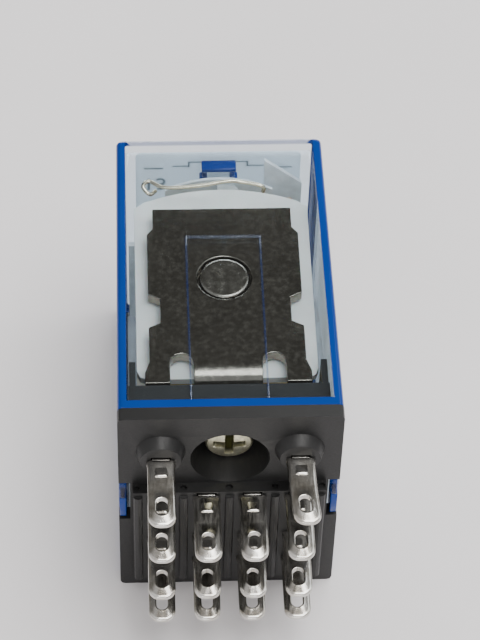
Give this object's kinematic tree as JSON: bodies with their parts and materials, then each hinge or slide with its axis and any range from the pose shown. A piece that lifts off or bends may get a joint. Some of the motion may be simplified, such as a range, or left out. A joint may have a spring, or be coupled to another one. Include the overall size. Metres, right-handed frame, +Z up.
{
  "type": "plug-in relay",
  "caption": "Box-shaped plug-in relay lying on one narrow side: clear tinted cover over a coil, yoke and hinged armature with contacts, on a black base with flat blade terminals.",
  "frame": {"origin": "on the surface the relay lies on, under the middle of its whole length, terminals included", "axes": "+X across the narrow width to the right, +Y from the terminals to the cover's end, +Z up from the contact side to the yoke side"},
  "size_m": [0.0212, 0.044, 0.0277],
  "materials": {
    "clear_polycarbonate": "clear blue-tinted polycarbonate, moulded glossy",
    "label_paper": "printed paper label, matt",
    "black_phenolic": "black thermoset moulding, fine matt",
    "nickel_steel": "dark nickel-plated soft iron, fine tumbled grain",
    "bright_steel": "bright turned steel",
    "white_nylon": "white moulded nylon, satin",
    "enamelled_copper": "fine enamelled copper wire",
    "winding_tape": "amber polyester tape",
    "tinned_brass": "stamped brass, bright tin plate",
    "contact_silver": "silver alloy rivet",
    "phosphor_bronze": "rolled phosphor bronze strip",
    "copper_braid": "braided copper wire",
    "zinc_steel": "yellow zinc-plated screw",
    "clear_epoxy": "clear cast epoxy lamp body",
    "resistor_lacquer": "lacquered resistor body with colour bands",
    "tinned_wire": "bright tinned copper wire",
    "milky_film": "milky insulating plastic"
  },
  "bodies": {
    "relay_frame": {"cover": "clear_polycarbonate", "left_label": "label_paper", "right_label": "label_paper", "end_label": "label_paper", "base": "black_phenolic", "yoke": "nickel_steel", "core": "bright_steel", "return_spring": "bright_steel", "bobbin": "white_nylon", "coil_winding": "enamelled_copper", "coil_lead_13": "enamelled_copper", "coil_lead_14": "enamelled_copper", "coil_tape": "winding_tape", "nc_terminal_1": "tinned_brass", "nc_terminal_2": "tinned_brass", "nc_terminal_3": "tinned_brass", "nc_terminal_4": "tinned_brass", "no_terminal_5": "tinned_brass", "no_terminal_6": "tinned_brass", "no_terminal_7": "tinned_brass", "no_terminal_8": "tinned_brass", "com_terminal_9": "tinned_brass", "com_terminal_10": "tinned_brass", "com_terminal_11": "tinned_brass", "com_terminal_12": "tinned_brass", "coil_terminal_13": "tinned_brass", "coil_terminal_14": "tinned_brass", "nc_contact_1": "contact_silver", "nc_contact_2": "contact_silver", "nc_contact_3": "contact_silver", "nc_contact_4": "contact_silver", "no_contact_5": "contact_silver", "no_contact_6": "contact_silver", "no_contact_7": "contact_silver", "no_contact_8": "contact_silver", "flexible_lead_9": "copper_braid", "flexible_lead_10": "copper_braid", "flexible_lead_11": "copper_braid", "flexible_lead_12": "copper_braid", "base_screw": "zinc_steel", "indicator_lamp": "clear_epoxy", "resistor": "resistor_lacquer", "lamp_bridge_wire": "tinned_wire", "lamp_return_wire": "tinned_wire", "arc_barrier": "milky_film", "insulating_film": "milky_film"},
    "armature": {"armature": "nickel_steel", "contact_carrier": "white_nylon", "moving_spring_1": "phosphor_bronze", "moving_spring_2": "phosphor_bronze", "moving_spring_3": "phosphor_bronze", "moving_spring_4": "phosphor_bronze", "moving_contact_1": "contact_silver", "moving_contact_2": "contact_silver", "moving_contact_3": "contact_silver", "moving_contact_4": "contact_silver"}
  },
  "joints": [
    {"name": "armature_pivot", "type": "hinge", "parent": "relay_frame", "child": "armature", "pos_m": [0, -0.0081, 0.0133], "axis": [1, 0, 0], "range_deg": [0, 2.5], "stiffness_Nm_per_rad": 0.05, "springref_deg": -4.58, "deforming": ["return_spring", "flexible_lead_9", "flexible_lead_10", "flexible_lead_11", "flexible_lead_12"]}
  ]
}
